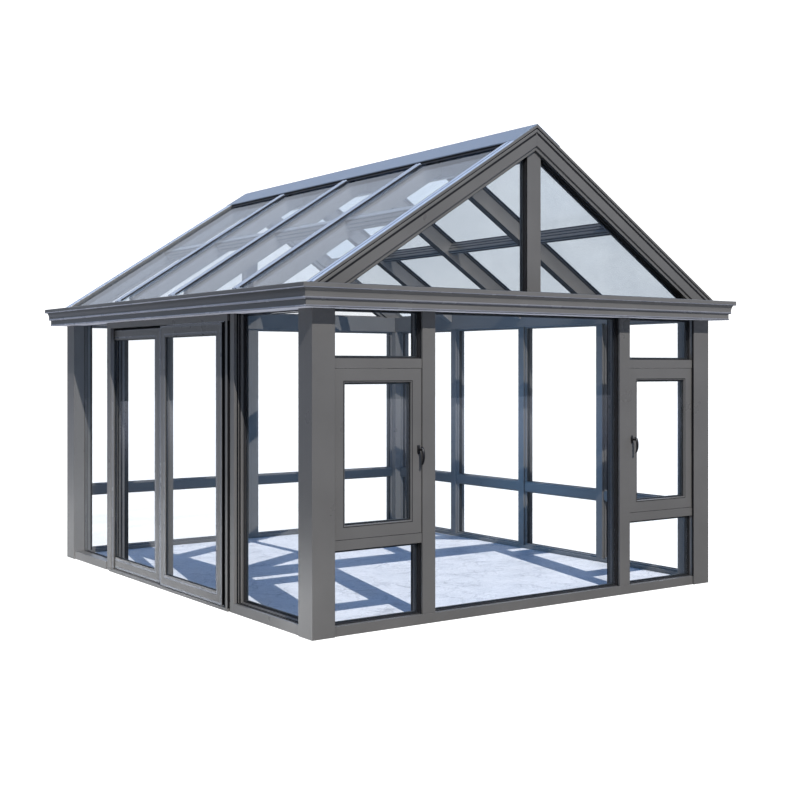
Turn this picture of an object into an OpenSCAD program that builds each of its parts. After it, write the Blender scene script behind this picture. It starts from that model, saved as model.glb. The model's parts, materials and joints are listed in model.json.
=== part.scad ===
// Gable-roofed garden sunroom: an aluminium post-and-beam frame with glass
// walls, a glass roof, a moulded cornice, a stone floor, two casement windows
// in the front gable wall and a two-panel sliding door in the left wall.
// Millimetres, +Z up, ground at z = 0, origin at the centre of the plan.

/* [Plan] */
// Width of the gable wall over the corner posts
house_w = 4320; // [3900:10:4800]
// Length of the side walls over the corner posts
house_d = 5000; // [4700:10:5400]
// Height of the walls to the underside of the cornice
wall_h = 2450; // [2400:10:2600]

/* [Frame] */
// Side of the square corner posts
post_s = 200; // [180:5:240]
// Width of the mullions in the front wall
front_mullion_w = 125; // [90:5:150]
// Width of the mullions in the side walls
side_mullion_w = 90; // [60:5:120]
// Width of the mullion in the back wall
back_mullion_w = 125; // [60:5:150]
// Depth of the sills and mullions through the wall
bar_t = 130; // [110:5:150]
// How far sills and mullions stand back from the post faces
bar_back = 15; // [5:1:25]
// Height of the sills
sill_h = 78; // [60:1:100]
// Bottom of the mid rail in the right and back walls
mid_rail_z = 670; // [500:10:900]
// Height of the mid rail
mid_rail_h = 84; // [60:2:110]
// Distance between the mullions in the right wall
right_bay = 1205; // [1100:5:1250]

/* [Cornice and roof] */
// Height of the cornice moulding
cornice_h = 173; // [150:1:200]
// Overhang of the cornice's top edge beyond the post faces
cornice_out = 179; // [150:1:200]
// Height of the roof's top edge above the ground, at the ridge
ridge_z = 4027; // [3900:1:4150]
// Distance between the rafters
bay = 1230; // [1100:10:1250]
// Width of the rafters
rafter_w = 90; // [60:5:110]
// Depth of the rafters
rafter_t = 150; // [100:5:160]
// Thickness of a roof pane
roof_glass_t = 20; // [10:1:24]
// Height of the cover caps above the roof panes
cap_t = 22; // [16:1:30]
// Reach of the ridge flashing on each side of the ridge, measured level
ridge_cap_w = 250; // [150:10:300]

/* [Windows] */
// Bottom of the lower transom
transom_low_z = 638; // [550:2:700]
// Bottom of the upper transom
transom_high_z = 2002; // [1900:2:2100]
// Height of the transoms
transom_h = 75; // [60:1:90]
// Width of the sash stiles
sash_stile = 92; // [70:1:110]
// Height of the sash rails
sash_rail = 98; // [70:1:110]
// Thickness of the wall panes
pane_t = 20; // [10:1:26]

/* [Sliding door] */
// Distance of the door frame from the front post face
door_y = 1341; // [1300:1:1380]
// Thickness of each sliding panel
panel_t = 34; // [30:1:36]
// Width of the panel stiles
panel_stile = 98; // [80:1:110]
// Height of a panel's top rail
panel_top = 94; // [70:1:110]
// Height of a panel's bottom rail
panel_foot = 98; // [70:1:120]
// Height of the threshold under the panels
threshold_h = 26; // [20:1:40]

/* [Floor] */
// Thickness of the stone floor inside the sills
floor_t = 45; // [30:1:60]

/* [Hidden] */
$fn = 48;

frame_grey = [0.30, 0.30, 0.31];
clear_glass = [0.78, 0.86, 0.90, 0.35];
roof_tint = [0.55, 0.62, 0.70, 0.45];
marble = [0.90, 0.91, 0.93];
black = [0.05, 0.05, 0.05];

hw = house_w / 2;
hd = house_d / 2;
gap = 1;
cornice_z = wall_h + cornice_h;
beam_in = 180;                       // inner face of the wall beams
beam_out = 20;                       // outer face of the wall beams

// Roof plane: it leaves the eave 12 mm above the cornice and 15 mm outside
// the post face, and rises to the ridge.
eave_o = 15;
eave_z = cornice_z + 12;
pitch = atan((ridge_z - eave_z) / (hw + eave_o));
run = (hw + eave_o) / cos(pitch);
function top_z(x) = ridge_z - abs(x) * tan(pitch);
function below(x, n) = top_z(x) - n / cos(pitch);
under = cap_t + roof_glass_t;        // depth of the panes' undersides
verge_t = 178;                       // depth of the verge below the roof plane
verge_out = 44;                      // verge beyond the post face
verge_in = 90;
ridge_half = 40;                     // half width of the ridge beam
caps_x = ridge_cap_w + 20;

front_mull_x = hw - house_w / 4;
bay_l = -hw + post_s;                          // left window bay
bay_r = -front_mull_x - front_mullion_w / 2;
lights_y = -hd + 75;                 // outer face of the fixed panes

// Left wall, measured as y from the front post face and u inward
far_post = house_d - post_s;
door_end = door_y + 2621;
flange_end = door_end - 100;
head_z = wall_h - 58;
track_gap = 6;
near_u = 4;
far_u = near_u + panel_t + track_gap;
near_a = door_y + 108;               // near panel
near_b = near_a + 1211;
far_a = near_b + 88;                 // far panel's meeting stile
far_b = door_end - 37;
far_stile = 114;
strip_a = near_b - 75;               // interlock strip behind the near panel
frame_t = 159;                       // depth of the door frame
jamb_fin = 54;                       // width of the near jamb's front edge

module centred() { translate([-hw, -hd, 0]) children(); }

// Local axes of the left roof slope: x up the slope, y along the house,
// z out of the roof.
module slope() {
  translate([-hw - eave_o, -hd, eave_z]) rotate([0, -pitch, 0]) children();
}
module both_x() { children(); mirror([1, 0, 0]) children(); }
module both_y() { children(); mirror([0, 1, 0]) children(); }

// A bar with an outline in y and z, running along x
module bar_x(x0, x1, pts) {
  translate([x0, 0, 0]) rotate([90, 0, 90]) linear_extrude(x1 - x0) polygon(pts);
}
// A bar with an outline in x and z, running along y
module bar_y(y0, y1, pts) {
  translate([0, y1, 0]) rotate([90, 0, 0]) linear_extrude(y1 - y0) polygon(pts);
}
// A box from one corner to the other
module span(a, b) { translate(a) cube(b - a); }

// ---------------------------------------------------------------- ground
module floor_slab() {
  color(marble)
  difference() {
    span([-hw + 160, -hd + 160, 0], [hw - 160, hd - 160, floor_t]);
    for (sx = [-1, 1], sy = [-1, 1])
      translate([sx * hw, sy * hd, floor_t / 2])
        cube([2 * (post_s + gap), 2 * (post_s + gap), floor_t + 2], center = true);
  }
}

module corner_posts() {
  color(frame_grey)
  for (sx = [-1, 1], sy = [-1, 1])
    translate([sx * (hw - post_s / 2), sy * (hd - post_s / 2), wall_h / 2])
      cube([post_s, post_s, wall_h], center = true);
}

module wall_sills() {
  color(frame_grey) {
    both_y() span([-hw + post_s, -hd + bar_back, 0],
                  [hw - post_s, -hd + bar_back + bar_t, sill_h]);
    span([hw - bar_back - bar_t, -hd + post_s, 0],
         [hw - bar_back, hd - post_s, sill_h]);
    centred() {
      span([bar_back, post_s, 0], [bar_back + bar_t, door_y - side_mullion_w, sill_h]);
      span([bar_back, door_end, 0], [bar_back + bar_t, far_post, sill_h]);
    }
  }
}

// ------------------------------------------------------------------ walls
module front_mullions() {
  color(frame_grey)
  both_x() span([front_mull_x - front_mullion_w / 2, -hd + bar_back, sill_h],
                [front_mull_x + front_mullion_w / 2, -hd + bar_back + bar_t, wall_h]);
}
module right_mullions() {
  color(frame_grey)
  for (i = [-1 : 1])
    span([hw - bar_back - bar_t, i * right_bay - side_mullion_w / 2, sill_h],
         [hw - bar_back, i * right_bay + side_mullion_w / 2, wall_h]);
}
module back_mullion() {
  color(frame_grey)
  span([-back_mullion_w / 2, hd - bar_back - bar_t, sill_h],
       [back_mullion_w / 2, hd - bar_back, wall_h]);
}
// Mullion in front of the door, with a groove along the door frame
module left_mullion() {
  color(frame_grey)
  centred() linear_extrude(wall_h)
    polygon([[bar_back, door_y - side_mullion_w], [bar_back, door_y - 18],
      [bar_back + 45, door_y - 18], [bar_back + 45, door_y],
      [bar_back + bar_t, door_y], [bar_back + bar_t, door_y - side_mullion_w]]);
}
module mid_rails() {
  color(frame_grey) {
    for (i = [-2 : 1]) {
      y0 = i == -2 ? -hd + post_s : i * right_bay + side_mullion_w / 2;
      y1 = i == 1 ? hd - post_s : (i + 1) * right_bay - side_mullion_w / 2;
      span([hw - bar_back - bar_t + 15, y0, mid_rail_z],
           [hw - bar_back - 8, y1, mid_rail_z + mid_rail_h]);
    }
    both_x() span([back_mullion_w / 2, hd - bar_back - bar_t + 15, mid_rail_z],
                  [hw - post_s, hd - bar_back - 8, mid_rail_z + mid_rail_h]);
  }
}
module window_transoms() {
  color(frame_grey)
  both_x() for (z = [transom_low_z, transom_high_z])
    span([bay_l, -hd + bar_back + 9, z], [bay_r, -hd + bar_back + bar_t, z + transom_h]);
}

sash_a = bay_l + 3;
sash_b = bay_r - 3;
sash_z0 = transom_low_z + transom_h + 3;
sash_z1 = transom_high_z - 3;
sash_y = -hd + bar_back + 11;
module sash() {
  difference() {
    span([sash_a, sash_y, sash_z0], [sash_b, sash_y + 62, sash_z1]);
    span([sash_a + sash_stile, sash_y - 1, sash_z0 + sash_rail],
         [sash_b - sash_stile, sash_y + 63, sash_z1 - sash_rail]);
  }
}
module left_window_sash() { color(frame_grey) sash(); }
module right_window_sash() { color(frame_grey) mirror([1, 0, 0]) sash(); }
module window_glass() {
  color(clear_glass)
  both_x() span([sash_a + sash_stile + gap, sash_y + 20, sash_z0 + sash_rail + gap],
                [sash_b - sash_stile - gap, sash_y + 20 + pane_t, sash_z1 - sash_rail - gap]);
}
// Lever handle on the sash stile next to the mullion: a back plate, a neck
// and a lever that bows out and hangs down
module handle() {
  translate([sash_b - 30, sash_y, 1330]) rotate([90, 0, 0]) {
    linear_extrude(9) translate([-14, -90]) square([28, 150]);
    translate([0, 20, 5]) cylinder(d = 18, h = 40);
    translate([-11, 0, 0]) rotate([90, 0, 90]) linear_extrude(22)
      polygon([[36, 42], [30, 52], [10, 58], [-20, 60], [-60, 54], [-100, 42],
               [-124, 32], [-128, 26], [-120, 22], [-96, 30], [-58, 41],
               [-20, 46], [0, 45], [4, 39], [36, 39]]);
  }
}
module window_handles() { color(black) both_x() handle(); }

module front_glass() {
  color(clear_glass) {
    both_x() for (z = [[sill_h, transom_low_z], [transom_high_z + transom_h, wall_h]])
      span([bay_l + gap, lights_y, z[0] + gap], [bay_r - gap, lights_y + pane_t, z[1] - gap]);
    span([bay_r + front_mullion_w + gap, lights_y, sill_h + gap],
         [-bay_r - front_mullion_w - gap, lights_y + pane_t, wall_h - gap]);
  }
}
module left_glass() {
  color(clear_glass)
  centred() {
    span([120, post_s + gap, sill_h + gap], [120 + pane_t, door_y - side_mullion_w - gap, wall_h - gap]);
    span([120, door_end + gap, sill_h + gap], [120 + pane_t, far_post - gap, wall_h - gap]);
  }
}
module right_glass() {
  color(clear_glass)
  for (i = [-2 : 1], z = [[sill_h, mid_rail_z], [mid_rail_z + mid_rail_h, wall_h]]) {
    y0 = i == -2 ? -hd + post_s : i * right_bay + side_mullion_w / 2;
    y1 = i == 1 ? hd - post_s : (i + 1) * right_bay - side_mullion_w / 2;
    span([hw - 75 - pane_t, y0 + gap, z[0] + gap], [hw - 75, y1 - gap, z[1] - gap]);
  }
}
module back_glass() {
  color(clear_glass)
  both_x() for (z = [[sill_h, mid_rail_z], [mid_rail_z + mid_rail_h, wall_h]])
    span([back_mullion_w / 2 + gap, hd - 75 - pane_t, z[0] + gap],
         [hw - post_s - gap, hd - 75, z[1] - gap]);
}

// -------------------------------------------------------- beams, cornice
module side_beams() {
  color(frame_grey)
  both_x() span([-hw + beam_out, -hd + beam_out, wall_h],
                [-hw + beam_in, hd - beam_out, cornice_z]);
}
module gable_beams() {
  color(frame_grey)
  both_y() span([-hw + beam_in + gap, -hd + beam_out, wall_h],
                [hw - beam_in - gap, -hd + 160, cornice_z]);
}

// Cornice outline: o outward from the post face, z up. A fascia, a small
// step, a cove and a top fillet.
cove = [for (i = [0 : 8]) let (a = i * 90 / 8)
  [cornice_out - 6 - (cornice_out - 6 - 146) * cos(a),
   cornice_h - 33 - (cornice_h - 33 - 74) * (1 - sin(a))]];
cornice_pts = concat(
  [[-beam_out, 0], [121, 0], [127, 2], [130, 8], [130, 58], [136, 64],
   [144, 64], [146, 70]],
  cove,
  [[cornice_out - 2, cornice_h - 32], [cornice_out, cornice_h - 29],
   [cornice_out, cornice_h - 3], [cornice_out - 3, cornice_h], [-beam_out, cornice_h]]);

// One length of cornice, mitred at both ends: half is half its wall's
// length, face the distance of the post face from the centre
module cornice_run(half, face) {
  m = 0.25;
  o = cornice_out + 40;
  intersection() {
    bar_x(-half - o, half + o, [for (p = cornice_pts) [-face - p[0], wall_h + p[1]]]);
    translate([0, 0, wall_h - 10]) linear_extrude(cornice_h + 20)
      polygon([[-half - o + m, -face - o], [half + o - m, -face - o],
               [half - beam_out - 5 - m, -face + beam_out + 5],
               [-half + beam_out + 5 + m, -face + beam_out + 5]]);
  }
}
module cornice_front() { color(frame_grey) cornice_run(hw, hd); }
module cornice_back() { color(frame_grey) rotate([0, 0, 180]) cornice_run(hw, hd); }
module cornice_left() { color(frame_grey) rotate([0, 0, -90]) cornice_run(hd, hw); }
module cornice_right() { color(frame_grey) rotate([0, 0, 90]) cornice_run(hd, hw); }

// ------------------------------------------------------------------ roof
// Verge outline: y from the post face (outward negative), z below the roof
verge_pts = [[-verge_out, 0], [-verge_out, -20], [-34, -22], [-34, -29],
  [-40, -31], [-40, -52], [-30, -55], [-30, -62], [-36, -65], [-36, -148],
  [-22, -152], [-22, -verge_t], [70, -verge_t], [70, -150], [verge_in, -150],
  [verge_in, 0]];
module verge() {
  both_x()
  intersection() {
    slope() bar_x(-60, run + 200, verge_pts);
    span([-hw - 200, -hd - 200, cornice_z], [-0.5, -hd + 300, ridge_z + 200]);
  }
}
module front_verge() { color(frame_grey) verge(); }
module back_verge() { color(frame_grey) mirror([0, 1, 0]) verge(); }

module rafters() {
  intersection() {
    slope() for (i = [-1 : 1])
      translate([0, hd + i * bay, 0])
        bar_x(-60, run + 200, [[-rafter_w / 2, -under - 0.5], [-rafter_w / 2, -under - rafter_t],
          [rafter_w / 2, -under - rafter_t], [rafter_w / 2, -under - 0.5]]);
    span([-hw + beam_in + 0.5, -hd, wall_h], [-ridge_half - 0.5, hd, ridge_z]);
  }
}
module rafters_left() { color(frame_grey) rafters(); }
module rafters_right() { color(frame_grey) mirror([1, 0, 0]) rafters(); }

// Purlins halfway up each slope, from rafter to rafter and to the verges
module purlins() {
  slope() for (i = [-2 : 1]) {
    y0 = i == -2 ? verge_in + 0.5 : hd + i * bay + rafter_w / 2 + 0.5;
    y1 = i == 1 ? house_d - verge_in - 0.5 : hd + (i + 1) * bay - rafter_w / 2 - 0.5;
    span([run / 2 - 32, y0, -under - 110], [run / 2 + 32, y1, -under - 0.5]);
  }
}
module purlins_left() { color(frame_grey) purlins(); }
module purlins_right() { color(frame_grey) mirror([1, 0, 0]) purlins(); }

module ridge_beam() {
  color(frame_grey)
  bar_y(-hd + verge_in + 0.5, hd - verge_in - 0.5,
    [[-ridge_half, ridge_z - 290], [ridge_half, ridge_z - 290],
     [ridge_half, below(ridge_half, under) - 1], [0, below(0, under) - 1],
     [-ridge_half, below(ridge_half, under) - 1]]);
}

// Cover caps over the rafters: a base with two ribs
module caps() {
  slope() for (i = [-1 : 1])
    translate([0, hd + i * bay, 0])
      bar_x(46, run - caps_x / cos(pitch),
        [[-36, 0.5 - cap_t], [36, 0.5 - cap_t], [36, -7], [30, 0], [12, 0], [9, -9],
         [-9, -9], [-12, 0], [-30, 0], [-36, -7]]);
}
module rafter_caps_left() { color(frame_grey) caps(); }
module rafter_caps_right() { color(frame_grey) mirror([1, 0, 0]) caps(); }

// Bent flashing over the ridge, with lips turned down between the verges
module ridge_cap() {
  c = ridge_cap_w;
  color(frame_grey)
  union() {
    bar_y(-hd - verge_out, hd + verge_out,
      [[-c, below(c, -0.5)], [0, below(0, -0.5)], [c, below(c, -0.5)],
       [c, below(c, -6)], [0, below(0, -6)], [-c, below(c, -6)]]);
    both_x() bar_y(-hd + verge_in + 1, hd - verge_in - 1,
      [[-c, below(c, -3)], [-c, below(c, cap_t - 1)], [-c + 5, below(c - 5, cap_t - 1)],
       [-c + 5, below(c - 5, -3)]]);
  }
}

king_w = 148;
module king_posts() {
  v = verge_t + 0.5;
  color(frame_grey)
  both_y() bar_y(-hd, -hd + 90,
    [[-king_w / 2, cornice_z], [king_w / 2, cornice_z], [king_w / 2, below(king_w / 2, v)],
     [0, below(0, v)], [-king_w / 2, below(king_w / 2, v)]]);
}
module gable_glass() {
  v = verge_t + 1;
  z0 = cornice_z + gap;
  x0 = (ridge_z - v / cos(pitch) - z0) / tan(pitch) - 2;
  x1 = king_w / 2 + gap;
  color(clear_glass)
  both_x() both_y() bar_y(-hd + 40, -hd + 40 + pane_t,
    [[x0, z0], [x1, below(x1, v)], [x1, z0]]);
}

module roof_panes() {
  slope() for (i = [-2 : 1]) {
    y0 = i == -2 ? verge_in + gap : hd + i * bay + 5;
    y1 = i == 1 ? house_d - verge_in - gap : hd + (i + 1) * bay - 5;
    span([74, y0, -under], [run - 40, y1, -cap_t]);
  }
}
module roof_glass_left() { color(roof_tint) roof_panes(); }
module roof_glass_right() { color(roof_tint) mirror([1, 0, 0]) roof_panes(); }

// Wedge that closes the foot of the panes along each eave
module eave_trims() {
  color(frame_grey)
  both_x() bar_y(-hd + verge_in + 1, hd - verge_in - 1,
    [[-hw - 18, cornice_z], [-hw + 56, cornice_z], [-hw + 56, below(-hw + 56, cap_t + 5)],
     [-hw + 40, below(-hw + 40, cap_t + 5)], [-hw - 18, cornice_z + 6]]);
}

// ---------------------------------------------------------- sliding door
door_plan = [[0, door_y], [0, flange_end], [24, flange_end], [24, door_end],
  [frame_t, door_end], [frame_t, door_y]];
module door_head() {
  color(frame_grey) centred()
  translate([0, 0, head_z]) linear_extrude(wall_h - head_z) polygon(door_plan);
}
module door_threshold() {
  color(frame_grey) centred() linear_extrude(threshold_h) polygon(door_plan);
}
// Near jamb with the slot beside the outer track, far jamb with the pocket
// that takes the far panel
module door_jambs() {
  p = near_u + panel_t;
  color(frame_grey) centred()
  translate([0, 0, threshold_h]) linear_extrude(head_z - threshold_h) {
    polygon([[0, door_y], [0, door_y + jamb_fin], [far_u, door_y + jamb_fin],
      [far_u, door_y + 100], [frame_t, door_y + 100], [frame_t, door_y]]);
    polygon([[0, flange_end - 51], [0, flange_end], [24, flange_end], [24, door_end],
      [frame_t, door_end], [frame_t, door_end - 82], [far_u + panel_t + 8, door_end - 82],
      [far_u + panel_t + 8, door_end - 30], [p, door_end - 30], [p, flange_end - 51]]);
  }
}

panel_z0 = threshold_h + 6;
module near_door_panel() {
  z1 = head_z - 6;
  color(frame_grey) centred()
  difference() {
    span([near_u, near_a, panel_z0], [near_u + panel_t, near_b, z1]);
    span([near_u - 1, near_a + panel_stile, panel_z0 + panel_foot],
         [near_u + panel_t + 1, near_b - panel_stile, z1 - panel_top]);
  }
}
module near_door_glass() {
  z1 = head_z - 6;
  color(clear_glass) centred()
  span([near_u + 8, near_a + panel_stile + gap, panel_z0 + panel_foot + gap],
       [near_u + panel_t - 8, near_b - panel_stile - gap, z1 - panel_top - gap]);
}
module far_door_panel() {
  z1 = head_z - 10;
  color(frame_grey) centred()
  union() {
    difference() {
      span([far_u, far_a, panel_z0], [far_u + panel_t, far_b, z1]);
      span([far_u - 1, far_a + far_stile, panel_z0 + panel_foot],
           [far_u + panel_t + 1, far_b - 88, z1 - panel_top]);
    }
    span([far_u, strip_a, panel_z0], [far_u + 12, far_a + 1, z1]);
    span([far_u, strip_a, panel_z0], [far_u + 55, strip_a + 14, z1]);
  }
}
module far_door_glass() {
  z1 = head_z - 10;
  color(clear_glass) centred()
  span([far_u + 8, far_a + far_stile + gap, panel_z0 + panel_foot + gap],
       [far_u + panel_t - 8, far_b - 88 - gap, z1 - panel_top - gap]);
}

floor_slab();
corner_posts();
wall_sills();
front_mullions();
right_mullions();
back_mullion();
left_mullion();
mid_rails();
window_transoms();
left_window_sash();
right_window_sash();
window_glass();
window_handles();
front_glass();
left_glass();
right_glass();
back_glass();
side_beams();
gable_beams();
cornice_front();
cornice_back();
cornice_left();
cornice_right();
front_verge();
back_verge();
rafters_left();
rafters_right();
purlins_left();
purlins_right();
ridge_beam();
rafter_caps_left();
rafter_caps_right();
ridge_cap();
king_posts();
gable_glass();
roof_glass_left();
roof_glass_right();
eave_trims();
door_head();
door_threshold();
door_jambs();
near_door_panel();
near_door_glass();
far_door_panel();
far_door_glass();
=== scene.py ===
import json
import math

import bpy
import bmesh
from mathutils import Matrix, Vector

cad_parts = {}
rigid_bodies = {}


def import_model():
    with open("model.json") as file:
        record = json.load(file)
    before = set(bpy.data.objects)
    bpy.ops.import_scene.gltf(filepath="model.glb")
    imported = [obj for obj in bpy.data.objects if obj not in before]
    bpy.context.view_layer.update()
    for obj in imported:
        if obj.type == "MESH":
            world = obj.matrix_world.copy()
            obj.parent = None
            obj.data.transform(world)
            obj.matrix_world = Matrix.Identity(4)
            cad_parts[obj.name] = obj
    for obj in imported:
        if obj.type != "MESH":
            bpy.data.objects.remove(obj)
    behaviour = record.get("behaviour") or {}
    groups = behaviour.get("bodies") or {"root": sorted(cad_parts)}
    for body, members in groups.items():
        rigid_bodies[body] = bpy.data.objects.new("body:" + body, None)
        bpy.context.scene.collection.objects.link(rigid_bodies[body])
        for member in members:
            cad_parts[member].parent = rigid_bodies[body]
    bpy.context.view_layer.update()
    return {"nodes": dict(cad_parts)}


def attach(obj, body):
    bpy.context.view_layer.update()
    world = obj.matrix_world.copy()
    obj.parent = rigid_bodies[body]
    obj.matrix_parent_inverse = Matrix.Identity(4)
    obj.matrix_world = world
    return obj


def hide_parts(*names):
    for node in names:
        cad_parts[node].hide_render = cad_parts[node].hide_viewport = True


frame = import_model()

scene = bpy.context.scene
NODES = frame["nodes"]

# ------------------------------------------------------------------ sizes, mm
HW, HD = 2160.0, 2500.0
WALL, CORNICE_TOP = 2450.0, 2623.0
EAVE_X, EAVE_Z, RIDGE_Z = 2175.0, 2635.0, 4027.0
PITCH = math.atan2(RIDGE_Z - EAVE_Z, EAVE_X)
CP, SP = math.cos(PITCH), math.sin(PITCH)
RUN = EAVE_X / CP
BAY, RIGHT_BAY = 1230.0, 1205.0


# ------------------------------------------------------------------ materials
def tree(name):
    m = bpy.data.materials.new(name)
    m.use_nodes = True
    nt = m.node_tree
    nt.nodes.clear()
    out = nt.nodes.new("ShaderNodeOutputMaterial")
    return m, nt, out


def node(nt, kind, **inputs):
    n = nt.nodes.new("ShaderNode" + kind)
    for k, v in inputs.items():
        n.inputs[k.replace("_", " ")].default_value = v
    return n


def ramp(nt, fac, stops):
    r = nt.nodes.new("ShaderNodeValToRGB")
    e = r.color_ramp.elements
    while len(e) < len(stops):
        e.new(0.5)
    for el, (pos, col) in zip(e, stops):
        el.position = pos
        el.color = (*col, 1.0)
    nt.links.new(fac, r.inputs["Fac"])
    return r


def position(nt):
    return nt.nodes.new("ShaderNodeTexCoord").outputs["Object"]


def coat(name, dark, light, rough=(0.34, 0.44), bump=0.05, grain=900.0, spec=0.5, metal=0.0):
    """Powder coat: fine grain in colour, roughness and surface."""
    m, nt, out = tree(name)
    p = position(nt)
    fine = node(nt, "TexNoise", Scale=grain, Detail=2.0, Roughness=0.6)
    broad = node(nt, "TexNoise", Scale=2.3, Detail=4.0, Roughness=0.55)
    for n in (fine, broad):
        nt.links.new(p, n.inputs["Vector"])
    mix = nt.nodes.new("ShaderNodeMath")
    mix.operation = "MULTIPLY_ADD"
    mix.inputs[1].default_value = 0.45
    nt.links.new(fine.outputs["Fac"], mix.inputs[0])
    half = nt.nodes.new("ShaderNodeMath")
    half.operation = "MULTIPLY"
    half.inputs[1].default_value = 0.55
    nt.links.new(broad.outputs["Fac"], half.inputs[0])
    nt.links.new(half.outputs[0], mix.inputs[2])
    col = ramp(nt, mix.outputs[0], [(0.3, dark), (0.7, light)])
    ro = ramp(nt, broad.outputs["Fac"], [(0.3, (rough[0],) * 3), (0.7, (rough[1],) * 3)])
    b = node(nt, "Bump", Strength=bump, Distance=0.0004)
    nt.links.new(fine.outputs["Fac"], b.inputs["Height"])
    s = node(nt, "BsdfPrincipled", Metallic=metal, IOR=1.5)
    s.inputs["Specular IOR Level"].default_value = spec
    nt.links.new(col.outputs["Color"], s.inputs["Base Color"])
    nt.links.new(ro.outputs["Color"], s.inputs["Roughness"])
    nt.links.new(b.outputs["Normal"], s.inputs["Normal"])
    nt.links.new(s.outputs[0], out.inputs["Surface"])
    return m


def schlick(nt, base, gain=1.0):
    """Share of light reflected by a pane, equal on both of its faces."""
    lw = node(nt, "LayerWeight", Blend=0.5)
    p = nt.nodes.new("ShaderNodeMath")
    p.operation = "POWER"
    p.inputs[1].default_value = 5.0
    nt.links.new(lw.outputs["Facing"], p.inputs[0])
    a = nt.nodes.new("ShaderNodeMath")
    a.operation = "MULTIPLY_ADD"
    a.use_clamp = True
    a.inputs[1].default_value = gain
    a.inputs[2].default_value = base
    nt.links.new(p.outputs[0], a.inputs[0])
    return a.outputs[0]


def pane(name, tint_a, tint_b, base, gain, haze=0.0, haze_col=(0.8, 0.85, 0.9)):
    """Clear sheet: see-through with a faint tint, and a mirror film at its faces."""
    m, nt, out = tree(name)
    n = node(nt, "TexNoise", Scale=1.3, Detail=3.0)
    nt.links.new(position(nt), n.inputs["Vector"])
    tint = ramp(nt, n.outputs["Fac"], [(0.35, tint_a), (0.65, tint_b)])
    see = nt.nodes.new("ShaderNodeBsdfTransparent")
    nt.links.new(tint.outputs["Color"], see.inputs["Color"])
    body = see.outputs[0]
    if haze:
        dust = node(nt, "BsdfTranslucent")
        dust.inputs["Color"].default_value = (*haze_col, 1.0)
        top = node(nt, "BsdfDiffuse")
        top.inputs["Color"].default_value = (*haze_col, 1.0)
        both = nt.nodes.new("ShaderNodeMixShader")
        both.inputs["Fac"].default_value = 0.5
        nt.links.new(dust.outputs[0], both.inputs[1])
        nt.links.new(top.outputs[0], both.inputs[2])
        mx = nt.nodes.new("ShaderNodeMixShader")
        mx.inputs["Fac"].default_value = haze
        nt.links.new(body, mx.inputs[1])
        nt.links.new(both.outputs[0], mx.inputs[2])
        body = mx.outputs[0]
    gloss = node(nt, "BsdfGlossy", Roughness=0.0)
    gloss.inputs["Color"].default_value = (0.96, 0.98, 1.0, 1.0)
    mx = nt.nodes.new("ShaderNodeMixShader")
    nt.links.new(schlick(nt, base, gain), mx.inputs["Fac"])
    nt.links.new(body, mx.inputs[1])
    nt.links.new(gloss.outputs[0], mx.inputs[2])
    # Sunlight passes a pane almost unweakened
    thru = nt.nodes.new("ShaderNodeBsdfTransparent")
    thru.inputs["Color"].default_value = (0.96, 0.965, 0.97, 1.0)
    lp = nt.nodes.new("ShaderNodeLightPath")
    sel = nt.nodes.new("ShaderNodeMixShader")
    nt.links.new(lp.outputs["Is Shadow Ray"], sel.inputs["Fac"])
    nt.links.new(mx.outputs[0], sel.inputs[1])
    nt.links.new(thru.outputs[0], sel.inputs[2])
    nt.links.new(sel.outputs[0], out.inputs["Surface"])
    return m


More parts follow.
